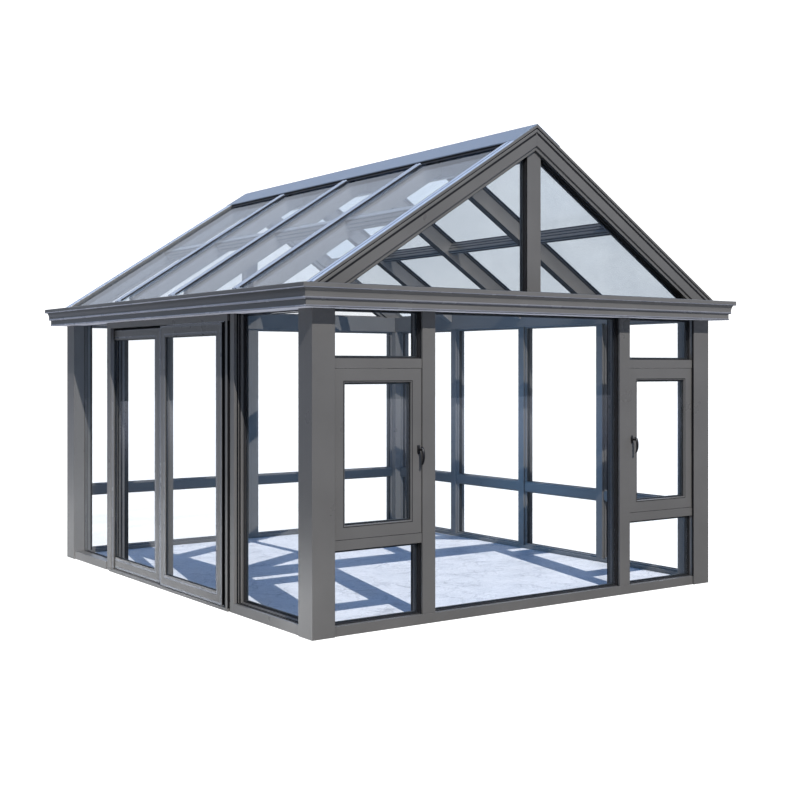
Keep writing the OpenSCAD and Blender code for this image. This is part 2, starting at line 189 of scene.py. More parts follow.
def marble(name):
    m, nt, out = tree(name)
    p = position(nt)
    warp = node(nt, "TexNoise", Scale=1.6, Detail=6.0, Roughness=0.62)
    nt.links.new(p, warp.inputs["Vector"])
    add = nt.nodes.new("ShaderNodeVectorMath")
    add.operation = "MULTIPLY_ADD"
    add.inputs[1].default_value = (0.85, 0.60, 0.60)
    nt.links.new(warp.outputs["Color"], add.inputs[0])
    nt.links.new(p, add.inputs[2])
    veins = None
    for scale, edge in ((3.4, 0.014), (8.5, 0.018), (17.0, 0.026)):
        v = node(nt, "TexVoronoi", Scale=scale)
        v.feature = "DISTANCE_TO_EDGE"
        nt.links.new(add.outputs[0], v.inputs["Vector"])
        r = ramp(nt, v.outputs["Distance"], [(0.0, (1.0, 1.0, 1.0)), (edge, (0.55, 0.55, 0.55)), (edge * 2.6, (0.0, 0.0, 0.0))])
        if veins is None:
            veins = r.outputs["Color"]
        else:
            mx = nt.nodes.new("ShaderNodeMath")
            mx.operation = "MULTIPLY_ADD"
            mx.use_clamp = True
            mx.inputs[1].default_value = 0.6
            nt.links.new(r.outputs["Color"], mx.inputs[0])
            nt.links.new(veins, mx.inputs[2])
            veins = mx.outputs[0]
    patch = node(nt, "TexNoise", Scale=2.7, Detail=3.0)
    nt.links.new(p, patch.inputs["Vector"])
    gate = ramp(nt, patch.outputs["Fac"], [(0.36, (0.30, 0.30, 0.30)), (0.60, (1.0, 1.0, 1.0))])
    amount = nt.nodes.new("ShaderNodeMath")
    amount.operation = "MULTIPLY"
    nt.links.new(veins, amount.inputs[0])
    nt.links.new(gate.outputs["Color"], amount.inputs[1])
    cloud = node(nt, "TexNoise", Scale=3.4, Detail=5.0, Roughness=0.6)
    nt.links.new(p, cloud.inputs["Vector"])
    ground = ramp(nt, cloud.outputs["Fac"], [(0.3, (0.655, 0.675, 0.705)), (0.6, (0.775, 0.785, 0.81))])
    col = nt.nodes.new("ShaderNodeMix")
    col.data_type = "RGBA"
    col.inputs["B"].default_value = (0.43, 0.445, 0.48, 1.0)
    nt.links.new(amount.outputs[0], col.inputs["Factor"])
    nt.links.new(ground.outputs["Color"], col.inputs["A"])
    ro = ramp(nt, cloud.outputs["Fac"], [(0.3, (0.42, 0.42, 0.42)), (0.7, (0.52, 0.52, 0.52))])
    s = node(nt, "BsdfPrincipled", IOR=1.5)
    s.inputs["Specular IOR Level"].default_value = 0.2
    nt.links.new(col.outputs["Result"], s.inputs["Base Color"])
    nt.links.new(ro.outputs["Color"], s.inputs["Roughness"])
    nt.links.new(s.outputs[0], out.inputs["Surface"])
    return m


GREY = coat("frame_coat", (0.077, 0.0745, 0.0715), (0.097, 0.094, 0.0905), rough=(0.27, 0.34), spec=0.45)
# Lighter copy of the frame coat: painted highlight on the door rims and the jamb's flange
EDGE_HIGHLIGHT = coat("edge_painted_highlight_coat", (0.10, 0.103, 0.111), (0.122, 0.125, 0.134), rough=(0.22, 0.30), bump=0.03, spec=0.6)
# Near-black coat for painted shade in slots, gaps and grooves
PAINTED_SHADE_BLACK = coat("slot_painted_shade_coat", (0.004, 0.004, 0.005), (0.008, 0.008, 0.009), rough=(0.80, 0.90), bump=0.03, spec=0.08)
# Pale coats for the cornice beads: painted highlights, the left copy lighter than the front one
CORNICE_FRONT_HIGHLIGHT = coat("cornice_front_painted_highlight_coat", (0.112, 0.115, 0.132), (0.138, 0.141, 0.158), rough=(0.22, 0.30), bump=0.03, spec=0.6)
CORNICE_LEFT_HIGHLIGHT = coat("cornice_left_painted_highlight_coat", (0.30, 0.302, 0.335), (0.35, 0.352, 0.385), rough=(0.22, 0.30), bump=0.03, spec=0.6)
# Pale coat for undersides: painted light bounced up from the ground
SOFFIT_BOUNCE_LIGHT = coat("soffit_painted_bounce_light_coat", (0.42, 0.425, 0.46), (0.50, 0.505, 0.54), rough=(0.35, 0.45), bump=0.03, spec=0.4)
BLACK = coat("handle_coat", (0.003, 0.003, 0.004), (0.008, 0.008, 0.009), rough=(0.30, 0.40), bump=0.03, spec=0.3)
RUBBER = coat("gasket_rubber", (0.004, 0.004, 0.005), (0.010, 0.010, 0.011), rough=(0.55, 0.7), bump=0.15, grain=500.0, spec=0.25)
# Pale blue coat: painted sky reflection on the verge ribs
SHEEN = coat("verge_painted_sky_reflection_coat", (0.235, 0.29, 0.38), (0.28, 0.335, 0.43), rough=(0.40, 0.48), bump=0.03, spec=0.45)
# Bluish coat for the rafter caps: painted sky reflection
CAPS = coat("cap_painted_sky_reflection_coat", (0.17, 0.205, 0.265), (0.21, 0.245, 0.31), rough=(0.40, 0.48), bump=0.03, spec=0.45)
# Bluish coat for the ridge cap: painted sky reflection
RIDGE = coat("ridge_painted_sky_tint_coat", (0.14, 0.17, 0.215), (0.165, 0.195, 0.24), rough=(0.50, 0.58), bump=0.04, spec=0.2)
SPACER = coat("spacer_metal", (0.018, 0.022, 0.026), (0.030, 0.035, 0.040), rough=(0.4, 0.5), metal=0.3)
CLEAR = pane("wall_pane", (0.978, 0.986, 0.992), (0.984, 0.990, 0.995), 0.032, 0.5)
ROOF = pane("roof_pane", (0.79, 0.825, 0.862), (0.81, 0.843, 0.876), 0.03, 0.335)
GABLE = pane("gable_pane", (0.815, 0.825, 0.835), (0.865, 0.872, 0.88), 0.035, 0.5)
STONE = marble("floor_marble")


# ------------------------------------------------------------------- builder
class Build:
    """Gathers swept shapes into one mesh. Points are given in mm."""

    def __init__(self):
        self.v, self.f = [], []

    def rings(self, rings, closed):
        n = len(rings[0])
        base = len(self.v)
        for r in rings:
            self.v += [(p[0] / 1000, p[1] / 1000, p[2] / 1000) for p in r]
        last = len(rings) if closed else len(rings) - 1
        for i in range(last):
            a, b = base + i * n, base + ((i + 1) % len(rings)) * n
            for j in range(n):
                k = (j + 1) % n
                self.f.append((a + j, a + k, b + k, b + j))
        if not closed:
            self.f.append(tuple(base + j for j in range(n)))
            self.f.append(tuple(base + (len(rings) - 1) * n + j for j in range(n)))
        return self

    def bar(self, a, b, u, w, outline):
        """A straight bar from a to b; the outline's axes are u and w."""
        a, b, u, w = Vector(a), Vector(b), Vector(u), Vector(w)
        return self.rings([[p + u * q[0] + w * q[1] for q in outline] for p in (a, b)], False)

    def loop(self, corners, normal, outline):
        """A mitred ring inside a polygon; the outline's axes are inward and along the normal."""
        c = [Vector(p) for p in corners]
        n = Vector(normal).normalized()
        mid = sum(c, Vector()) / len(c)
        inward = []
        for i in range(len(c)):
            e = (c[(i + 1) % len(c)] - c[i]).normalized()
            m = n.cross(e)
            if m.dot(mid - c[i]) < 0:
                m = -m
            inward.append(m)
        rings = []
        for i, p in enumerate(c):
            m0, m1 = inward[i - 1], inward[i]
            d = (m0 + m1) / (1 + m0.dot(m1))
            rings.append([p + d * q[0] + n * q[1] for q in outline])
        return self.rings(rings, True)

    def make(self, name, mat, body="house", slot=None, bevel=0.0):
        me = bpy.data.meshes.new(name)
        me.from_pydata(self.v, [], self.f)
        bm = bmesh.new()
        bm.from_mesh(me)
        bmesh.ops.recalc_face_normals(bm, faces=bm.faces)
        bm.to_mesh(me)
        bm.free()
        o = bpy.data.objects.new(name, me)
        scene.collection.objects.link(o)
        me.materials.append(mat)
        if bevel:
            b = o.modifiers.new("edge", "BEVEL")
            b.width, b.segments, b.limit_method, b.angle_limit = bevel, 2, "ANGLE", math.radians(35)
        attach(o, body)
        return o


def rect(axis, at, a0, a1, z0, z1):
    """Corners of an upright rectangle: axis 'y' has x from a0 to a1, axis 'x' has y."""
    if axis == "y":
        return [(a0, at, z0), (a1, at, z0), (a1, at, z1), (a0, at, z1)]
    return [(at, a0, z0), (at, a1, z0), (at, a1, z1), (at, a0, z1)]


def on_roof(side, s, y, h):
    """Point on a roof slope: s up the slope from the eave, h out of the roof."""
    x = -EAVE_X + s * CP - h * SP
    return Vector((x if side < 0 else -x, y, EAVE_Z + s * SP + h * CP))


def roof_axes(side):
    e = Vector((CP, 0, SP))
    n = Vector((-SP, 0, CP))
    if side > 0:
        e.x, n.x = -e.x, -n.x
    return e, n


# ------------------------------------------------- gaskets, beads and spacers
# Outer gasket reaches 20 mm up the reveal: partly gasket, partly painted shade
GASKET_AND_SHADE_OUT = [(-1.5, 0.2), (9, 0.2), (11, 2), (9.5, 6), (5, 20), (-1.5, 21)]
GASKET_IN = [(-1.5, 0.2), (8, 0.2), (9.5, 2), (8, 4), (-1.5, 4)]
BEAD_IN = [(-1.5, 4), (14, 4), (16, 6), (16, 14), (13, 22), (10, 24), (-1.5, 24)]
SPACER_BAR = [(13, -7), (21, -7), (21, 7), (13, 7)]

gaskets, beads, spacers = Build(), Build(), Build()


def glaze(corners, normal, half, g=gaskets, b=beads, s=spacers, bead=True):
    """Dress one pane: corners lie on its middle plane, at the edge of the opening."""
    n = Vector(normal)
    out = [Vector(c) + n * half for c in corners]
    inn = [Vector(c) - n * half for c in corners]
    g.loop(out, n, GASKET_AND_SHADE_OUT)
    g.loop(inn, -n, GASKET_IN)
    if bead:
        b.loop(inn, -n, BEAD_IN)
    s.loop(corners, n, SPACER_BAR)


def light(axis, at, a0, a1, z0, z1, normal, **kw):
    glaze(rect(axis, at, a0, a1, z0, z1), normal, 10, **kw)


FRONT, BACK, LEFT, RIGHT = (0, -1, 0), (0, 1, 0), (-1, 0, 0), (1, 0, 0)
for sx in (-1, 1):
    lo, hi = sorted((sx * 1142.5, sx * 1960.0))
    light("y", -2415, lo, hi, 78, 638, FRONT)
    light("y", -2415, lo, hi, 2077, 2450, FRONT)
light("y", -2415, -1017.5, 1017.5, 78, 2450, FRONT)
light("x", -2030, -2300, -1249, 78, 2450, LEFT, bead=False)
beads.loop(rect("x", -2040, -2300, -1249, 78, 2450), LEFT, [(-1.5, 21), (6, 21), (8, 23), (5, 30), (-1.5, 31)])
c = rect("x", -2030, 1462, 2300, 78, 2450)
for nrm in (LEFT, RIGHT):
    gaskets.loop([Vector(p) + Vector(nrm) * 10 for p in c], nrm, [(-1.5, 0.2), (5, 0.2), (6, 1.4), (5, 4), (-1.5, 4)])
for i in range(-2, 2):
    y0 = -2300 if i == -2 else i * RIGHT_BAY + 45
    y1 = 2300 if i == 1 else (i + 1) * RIGHT_BAY - 45
    light("x", 2075, y0, y1, 78, 670, RIGHT)
    light("x", 2075, y0, y1, 754, 2450, RIGHT)
for sx in (-1, 1):
    lo, hi = sorted((sx * 62.5, sx * 1960.0))
    light("y", 2415, lo, hi, 78, 670, BACK)
    light("y", 2415, lo, hi, 754, 2450, BACK)

# Gable triangles
V = 178.0
gx0 = (RIDGE_Z - V / CP - CORNICE_TOP) / math.tan(PITCH)
gz1 = RIDGE_Z - 74 * math.tan(PITCH) - V / CP
for sx in (-1, 1):
    for sy, nrm in ((-1, FRONT), (1, BACK)):
        tri = [(sx * gx0, sy * 2450, CORNICE_TOP), (sx * 74, sy * 2450, CORNICE_TOP), (sx * 74, sy * 2450, gz1)]
        glaze(tri, nrm, 10)

# ------------------------------------------------------------------ sashes
sash_gaskets_and_shade, sash_b, sash_s = Build(), Build(), Build()
for sx in (-1, 1):
    lo, hi = sorted((sx * 1237.5, sx * 1865.0))
    c = rect("y", -2444, lo, hi, 814, 1901)
    out = [Vector(p) + Vector(FRONT) * 10 for p in c]
    inn = [Vector(p) - Vector(FRONT) * 10 for p in c]
    sash_gaskets_and_shade.loop(out, FRONT, [(-1.5, 0.2), (9, 0.2), (11, 2), (9, 5), (-1.5, 5)])
    sash_b.loop(out, FRONT, [(-1.5, 5), (7, 5), (8.5, 6.5), (4, 19), (-1.5, 19)])
    sash_gaskets_and_shade.loop(inn, BACK, GASKET_IN)
    sash_b.loop(inn, BACK, [(-1.5, 4), (14, 4), (16, 6), (16, 14), (13, 20), (-1.5, 20)])
    sash_s.loop(c, FRONT, SPACER_BAR)
    # Thin near-black line round the bead: painted shade of a groove
    sash_gaskets_and_shade.loop(out, FRONT, [(-7, 19), (-1.6, 19), (-1.6, 20.6), (-7, 20.6)])
    # Near-black strips in the joint round the sash and beside the post: painted shade of the recesses there, partly
    # seal
    lo, hi = sorted((sx * 1142.5, sx * 1960.0))
    ring = rect("y", -2412, lo, hi, 713, 2002)
    sash_gaskets_and_shade.loop(ring, BACK, [(0.2, 0.3), (20, 0.3), (20, 4), (0.2, 4)])
    sash_gaskets_and_shade.loop(rect("y", -2474, lo, hi, 713, 2002), BACK, [(0.3, 4), (2.7, 4), (2.7, 60), (0.3, 60)])
# Near-black facings on the reveals of the front posts and mullions, painted shade over their seals, and cover strips
# behind the mullions
covers = Build()
for sx in (-1, 1):
    x = sx * 1960.0
    sash_gaskets_and_shade.rings([[(x - sx * p[0], p[1], z) for p in ((-0.3, -2498), (1.4, -2497), (1.4, -2475), (-0.3, -2475))] for z in (78.5, 2449.5)], False)
    for k in (-1, 1):
        x = sx * 1080.0 + k * 62.5
        for y0, y1 in ((-2468, -2447), (-2380, -2366)):
            sash_gaskets_and_shade.rings([[(x + k * p[0], p[1], z) for p in ((-0.3, y0), (1.4, y0 + 1), (1.4, y1 - 1), (-0.3, y1))] for z in (79, 2449)], False)
        for y0, y1 in ((-2354, -2344), (-2336, -2321)):
            sash_gaskets_and_shade.rings([[(sx * 1080.0 + k * (57.8 + p[0]), p[1], z) for p in ((-0.3, y0), (1.4, y0 + 1), (1.4, y1 - 1), (-0.3, y1))] for z in (79, 2449)], False)
    covers.rings([[(sx * 1080.0 + p[0], p[1], z) for p in ((-58, -2355.2), (58, -2355.2), (58, -2322), (54, -2318), (-54, -2318), (-58, -2322))] for z in (78.5, 2449)], False)
covers.make("mullion_covers", GREY, slot="frame_grey", bevel=0.001)
sash_gaskets_and_shade.make("sash_seals_and_painted_shade", RUBBER)
sash_b.make("sash_beads", GREY, slot="frame_grey", bevel=0.0012)
sash_s.make("sash_spacers", SPACER)

# ------------------------------------------------------------------ handles
hd = Build()


def rounded(w, h, r, k=6):
    pts = []
    for cx, cz, a in ((w - r, h - r, 0), (r - w, h - r, 90), (r - w, r - h, 180), (w - r, r - h, 270)):
        pts += [(cx + r * math.cos(math.radians(a + 90 * i / k)), cz + r * math.sin(math.radians(a + 90 * i / k))) for i in range(k + 1)]
    return pts


for sx in (-1, 1):
    hx, y0 = sx * 1175.5, -2474.0
    plate = rounded(12, 36, 11.5)
    hd.rings([[(hx + p[0] * f, y0 - d, 1368 + p[1] * (1 - (1 - f) * 0.3)) for p in plate] for f, d in ((1, 0.1), (1, 6), (0.9, 8.4), (0.74, 9.4))], False)
    circ = [(math.cos(2 * math.pi * i / 20), math.sin(2 * math.pi * i / 20)) for i in range(20)]
    hd.rings([[(hx + r * q[0], y0 - d, 1368 + r * q[1]) for q in circ] for r, d in ((13, 8), (12.5, 14), (10, 18), (10, 44), (11.5, 50))], False)
    # Lever: a tapering round bar that leaves the neck, bows out and hangs down
    path = [(1388, 40, 8), (1386, 49, 11), (1378, 57, 12), (1364, 64, 12), (1346, 69, 11.8), (1326, 71.5, 11.4), (1304, 71, 11), (1284, 67, 10.4), (1267, 60.5, 9.6), (1256, 54, 8.2), (1251, 50, 5.5), (1249, 48, 2.2)]
    rings = []
    for i, (z, d, r) in enumerate(path):
        a, b = path[max(i - 1, 0)], path[min(i + 1, len(path) - 1)]
        t = Vector((0, -(b[1] - a[1]), b[0] - a[0])).normalized()
        w = Vector((1, 0, 0)).cross(t)
        rings.append([Vector((hx, y0 - d, z)) + Vector((1, 0, 0)) * (r * 0.98 * q[0]) + w * (r * 0.7 * q[1]) for q in circ])
    hd.rings(rings, False)
handles = hd.make("lever_handles", BLACK, slot="handle_black")
for poly in handles.data.polygons:
    poly.use_smooth = True
handles.data.set_sharp_from_angle(angle=math.radians(38))
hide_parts("window_handles")

# ------------------------------------------------------------- sliding doors
for name, u, y0, y1, z0, z1, body in (
        ("near", 21, -953, 62, 130, 2292, "near_door"),
        ("far", 61, 362, 1337, 130, 2288, "far_door")):
    g, b, s = Build(), Build(), Build()
    c = rect("x", -HW + u, y0, y1, z0, z1)
    for sgn, nrm in ((-1, LEFT), (1, RIGHT)):
        face = [Vector(p) + Vector(nrm) * 9 for p in c]
        g.loop(face, nrm, [(-1.5, 0.2), (7, 0.2), (8.5, 1.6), (7, 3), (-1.5, 3)])
        b.loop(face, nrm, [(-1.5, 3), (10, 3), (11, 4), (8, 7.6), (-1.5, 7.6)])
    s.loop(c, LEFT, [(11, -6), (18, -6), (18, 6), (11, 6)])
    # Raised rims round the panel's outer face and round its opening, in a lighter coat: painted highlight along them
    rim = Build()
    front = -HW + (4 if name == "near" else 44)
    o0, o1, oz0, oz1 = (-1051, 160, 33, 2385) if name == "near" else (250, 1424, 33, 2381)
    t = 1.4 if name == "near" else 0.8
    rim.loop(rect("x", front, o0, o1, oz0, oz1), LEFT, [(2, -0.5), (2, t * 0.6), (4, t), (17, t), (19, t * 0.6), (19, -0.5)])
    rim.loop(rect("x", front, y0, y1, z0, z1), LEFT, [(-20, -0.5), (-20, t * 0.6), (-18, t), (-6, t), (-4, t * 0.6), (-4, -0.5)])
    rim.make(name + "_door_rims", EDGE_HIGHLIGHT, body, "frame_grey")
    g.make(name + "_door_gaskets", RUBBER, body)
    b.make(name + "_door_beads", GREY, body, "frame_grey", 0.0008)
    s.make(name + "_door_spacers", SPACER, body)

# Near-black strips in the slots beside the door: painted shade of the deep slots
lin = Build()
UP = (0, 0, 1)


def upright(build, z0, z1, outline):
    """Outline in u (inward from the post face) and y."""
    build.rings([[(-HW + p[0], p[1], z) for p in outline] for z in (z0, z1)], False)


def box2(u0, u1, y0, y1):
    return [(u0, y0), (u1, y0), (u1, y1), (u0, y1)]


upright(lin, 27, 2391, box2(34, 43.8, -1104.8, -1059.2))
upright(lin, 27, 2391, box2(6, 34, -1104.8, -1102.5))
upright(lin, 27, 2391, box2(-0.8, 0.5, -1123, -1104.6))
upright(lin, 27, 2391, box2(1.5, 20, -1161.0, -1158.6))
upright(lin, 78, 2449, box2(50, 59.8, -1176.8, -1159.2))
upright(lin, 78, 2449, box2(20, 50, -1176.8, -1174.8))
upright(lin, 78, 2449, box2(20, 50, -1161.0, -1159.2))
# Near-black strip under the head, before the far panel: painted shade of the gap there
upright(lin, 2370, 2391.5, box2(39.6, 42.4, 100, 1309))
# Near-black strip at the inner edge of the far post: painted shade along that edge
upright(lin, 79, 2449, box2(180, 199, 2298.6, 2300.2))
lin.make("slot_painted_shade_strips", PAINTED_SHADE_BLACK)
# Near-black strip over the near panel's end face: painted shade in the slot
edge = Build()
upright(edge, 40, 2380, box2(7, 35, -1052.8, -1050.8))
edge.make("near_door_edge_painted_shade", PAINTED_SHADE_BLACK, "near_door")

# Linings of the door opening on the room side; the far one carries near-black strips, painted shade, in the next block
inner = Build()
upright(inner, 27, 2391, box2(86.6, 200, 1342, 1380.2))
upright(inner, 27, 2391, box2(158.8, 200, -1150, -1059))
inner.rings([[(-HW + u, y, z) for u, z in ((158.8, 2392), (200, 2392), (200, 2449), (158.8, 2449))] for y in (-1150, 1380)], False)
inner.make("door_linings", GREY, slot="frame_grey", bevel=0.0015)

# Near-black strips on the reveals of the wall frame beside the door and on the far lining: painted shade standing in
# for grooves
gro = Build()
for u0, u1 in ((40, 54), (62, 76), (90, 106)):
    upright(gro, 79, 2449, box2(u0, u1, -1250.6, -1248.6))
    gro.rings([[(-HW + u, y, z) for u, z in ((u0, 77.6), (u1, 77.6), (u1, 79.4), (u0, 79.4))] for y in (-2299, -1250)], False)
for u0, u1 in ((90, 103), (117, 136), (158, 198)):
    upright(gro, 28, 2390, box2(u0, u1, 1340.6, 1342.4))
gro.make("reveal_painted_groove_shade", PAINTED_SHADE_BLACK)

# Painted highlights: a pale strip on the far jamb's flange and pale beads along the steps of the cornice
pale_edges = Build()
upright(pale_edges, 28, 2390, box2(13, 28, 1309.8, 1311.2))
house = [(-HW, -HD, WALL), (HW, -HD, WALL), (HW, HD, WALL), (-HW, HD, WALL)]


def half_round(o, z, r, k=6):
    """Half-round bead in the cornice's outline: o outward, z up; it faces out and down."""
    return [(-(o + r * math.cos(math.radians(a))), z + r * math.sin(math.radians(a))) for a in [-140 + 230 * i / k for i in range(k + 1)]]


pale_edges.make("jamb_painted_highlight", EDGE_HIGHLIGHT, slot="frame_grey")
# Pale half-round beads along the cornice steps: painted highlights, lighter on the left side
lines, lines_left = Build(), Build()
for o, z, r in ((125, 6, 8), (136, 66, 12), (173.5, 138.5, 5.5)):
    bead = half_round(o, z, r, 10)
    for build, ends in ((lines, ((-1, -1), (1, -1), (1, 1), (-1, 1))), (lines_left, ((-1, -1), (-1, 1)))):
        build.rings([[(sx * (HW - q[0]), sy * (HD - q[0]), WALL + q[1]) for q in bead] for sx, sy in ends], False)
lines.make("cornice_highlight_lines", CORNICE_FRONT_HIGHLIGHT, slot="frame_grey")
lines_left.make("cornice_highlight_lines_left", CORNICE_LEFT_HIGHLIGHT, slot="frame_grey")
# Pale boards under the cornice and under the beams outside the panes: painted light bounced up from the sunny ground
soffit = Build()
soffit.loop(house, (0, 0, 1), [(-2, -0.2), (-119, -0.2), (-119, -1.6), (-2, -1.6)])
for x0, x1, y0, y1 in ((-1958, -1145, -HD + 2, -2448), (-1015, 1015, -HD + 2, -2448), (1145, 1958, -HD + 2, -2448),
                       (-HW + 2, -2073, -2298, -1262), (-HW + 2, -2048, 1464, 2298)):
    soffit.rings([[(x0, y0, z), (x1, y0, z), (x1, y1, z), (x0, y1, z)] for z in (WALL - 1.6, WALL - 0.2)], False)
soffit.make("soffit_boards_painted_light", SOFFIT_BOUNCE_LIGHT, slot="frame_grey")

# ---------------------------------------------------------------------- roof
verge_ribs, roof_seals_and_painted_shade = Build(), Build()
for side in (-1, 1):
    e, n = roof_axes(side)
    for i in (-1, 0, 1):
        yc = i * BAY
        s0, s1 = 235.0, RUN - 50
        # Seals between rafter and panes
        for k in (-1, 1):
            y = yc + k * 45
            roof_seals_and_painted_shade.bar(on_roof(side, s0, y, 0), on_roof(side, s1, y, 0), (0, k, 0), n, [(-3, -42.2), (6, -42.2), (7, -46), (4, -57), (-0.2, -57)])
        # Near-black strips under the rafter: painted shade standing in for grooves
        a, b = on_roof(side, s0 + 60, yc, 0), on_roof(side, s1 - 60, yc, 0)
        for y0, y1 in ((-40, -17), (-10, 10), (17, 40)):
            roof_seals_and_painted_shade.bar(a, b, (0, 1, 0), n, [(y0, -191.5), (y1, -191.5), (y1, -193.5), (y0, -193.5)])
    # Near-black strips along the purlins: painted shade standing in for grooves
    for j in range(-2, 2):
        y0 = -2409 if j == -2 else j * BAY + 46
        y1 = 2409 if j == 1 else (j + 1) * BAY - 46
        for h0, h1 in ((-58, -46), (-92, -82), (-126, -116)):
            for k in (-1, 1):
                a, b = on_roof(side, RUN / 2 + k * 32, y0, 0), on_roof(side, RUN / 2 + k * 32, y1, 0)
                roof_seals_and_painted_shade.bar(a, b, e * k, n, [(-0.5, h0), (1.5, h0), (1.5, h1), (-0.5, h1)])
        a, b = on_roof(side, RUN / 2, y0, 0), on_roof(side, RUN / 2, y1, 0)
        roof_seals_and_painted_shade.bar(a, b, e, n, [(-22, -152), (-10, -152), (-10, -153.5), (-22, -153.5)])
        roof_seals_and_painted_shade.bar(a, b, e, n, [(10, -152), (22, -152), (22, -153.5), (10, -153.5)])
    # Near-black strip under the edge of the ridge flashing: painted shade of the gap there
    s = RUN - 250 / CP
    roof_seals_and_painted_shade.bar(on_roof(side, s, -2408, 0), on_roof(side, s, 2408, 0), e, n, [(-30, -21.8), (-0.5, -21.8), (-0.5, -0.5), (-6, -0.5), (-10, -14), (-30, -19.5)])
    # Seals beside the cover caps, widened: partly seal, partly painted shade
    for i in (-1, 0, 1):
        for k in (-1, 1):
            y = i * BAY + k * 36
            roof_seals_and_painted_shade.bar(on_roof(side, 80, y, 0), on_roof(side, RUN - 330, y, 0), (0, k, 0), n, [(0.2, -21.8), (17, -21.8), (17, -20), (4, -15), (2, -9), (0.2, -9)])
# Near-black facings in the gables, beside the king posts and under the verges: painted shade over seals
for sy in (-1, 1):
    for sx in (-1, 1):
        z1 = RIDGE_Z - 75.5 * math.tan(PITCH) - 180 / CP
        roof_seals_and_painted_shade.rings([[(sx * (73.8 + p[0]), sy * (2500 - p[1]), z) for p in ((0, 3), (1.6, 4), (1.6, 38.5), (0, 38.5))] for z in (2624, z1)], False)
        for y0, y1 in ((-17, -4), (3, 17), (24, 38)):
            a, b = on_roof(sx, 330, sy * 2500, 0), on_roof(sx, RUN - 215, sy * 2500, 0)
            n = roof_axes(sx)[1]
            roof_seals_and_painted_shade.bar(a, b, (0, -sy, 0), n, [(y0, -177.8), (y1, -177.8), (y1, -179.6), (y0, -179.6)])
        # Ribs along the top of the verge, in a pale blue coat: painted sky reflection
        e, n = roof_axes(sx)
        for y0 in (-38, 15):
            verge_ribs.bar(on_roof(sx, 4, sy * 2500, 0), on_roof(sx, RUN - 4, sy * 2500, 0), (0, -sy, 0), n, [(y0, -0.5), (y0 + 3, 4), (y0 + 40, 4), (y0 + 43, -0.5)])
        # Near-black strip between the ribs: painted shade of the seam
        roof_seals_and_painted_shade.bar(on_roof(sx, 4, sy * 2500, 0), on_roof(sx, RUN - 260 / CP, sy * 2500, 0), (0, -sy, 0), n, [(7, -0.4), (13, -0.4), (13, 4.3), (7, 4.3)])
        # Near-black strips between the verge layers: a seal and painted shade of the step
        roof_seals_and_painted_shade.bar(on_roof(sx, 4, sy * 2500, 0), on_roof(sx, RUN - 4, sy * 2500, 0), (0, -sy, 0), n, [(-33.5, -21.7), (-36.2, -21.7), (-36.2, -29.5), (-33.5, -29.5)])
        roof_seals_and_painted_shade.bar(on_roof(sx, 20, sy * 2500, 0), on_roof(sx, RUN - 50, sy * 2500, 0), (0, -sy, 0), n,
                       [(-40.8, -50.5), (-40.8, -53.5), (-36.8, -63.5), (-36.8, -67.5), (-35, -67.5), (-29.5, -62), (-29.5, -55), (-39, -50.5)])
roof_seals_and_painted_shade.make("roof_seals_and_painted_shade", RUBBER)
verge_ribs.make("verge_ribs", SHEEN, slot="frame_grey", bevel=0.001)

gaskets.make("wall_gaskets_and_painted_shade", RUBBER)
beads.make("wall_beads", GREY, slot="frame_grey", bevel=0.0012)
spacers.make("wall_spacers", SPACER)

# ---------------------------------------------------------------- CAD looks
for name, o in NODES.items():
    o.data.materials.clear()
    if name.startswith("roof_glass"):
        o.data.materials.append(ROOF)
    elif name == "gable_glass":
        o.data.materials.append(GABLE)
    elif name.endswith("glass"):
        o.data.materials.append(CLEAR)
    elif name == "floor_slab":
        o.data.materials.append(STONE)
    elif name == "window_handles":
        o.data.materials.append(BLACK)
    else:
        # Rafter caps and ridge cap take bluish coats: painted sky reflection
        caps = name.startswith("rafter_caps")
        o.data.materials.append(CAPS if caps else RIDGE if name == "ridge_cap" else GREY)
        if not caps and name != "ridge_cap":
            wd = o.modifiers.new("weld", "WELD")
            wd.merge_threshold = 0.00002
            bv = o.modifiers.new("edge", "BEVEL")
            bv.width, bv.segments, bv.limit_method = (0.005 if name.startswith("cornice") else 0.0022), 2, "ANGLE"
            bv.angle_limit = math.radians(50)

# -------------------------------------------------------------------- studio
w = bpy.data.worlds.new("studio")
scene.world = w
w.use_nodes = True
nt = w.node_tree
nt.nodes.clear()
wo = nt.nodes.new("ShaderNodeOutputWorld")
tc = nt.nodes.new("ShaderNodeTexCoord")
sep = nt.nodes.new("ShaderNodeSeparateXYZ")
nt.links.new(tc.outputs["Generated"], sep.inputs[0])
half = nt.nodes.new("ShaderNodeMath")
half.operation = "MULTIPLY_ADD"
half.inputs[1].default_value = 0.5
half.inputs[2].default_value = 0.5
nt.links.new(sep.outputs["Z"], half.inputs[0])
def dome(stops, strength):
    """Background whose colour goes with height."""
    r = ramp(nt, half.outputs[0], stops)
    b = node(nt, "Background", Strength=strength)
    nt.links.new(r.outputs["Color"], b.inputs["Color"])
    return b.outputs[0]


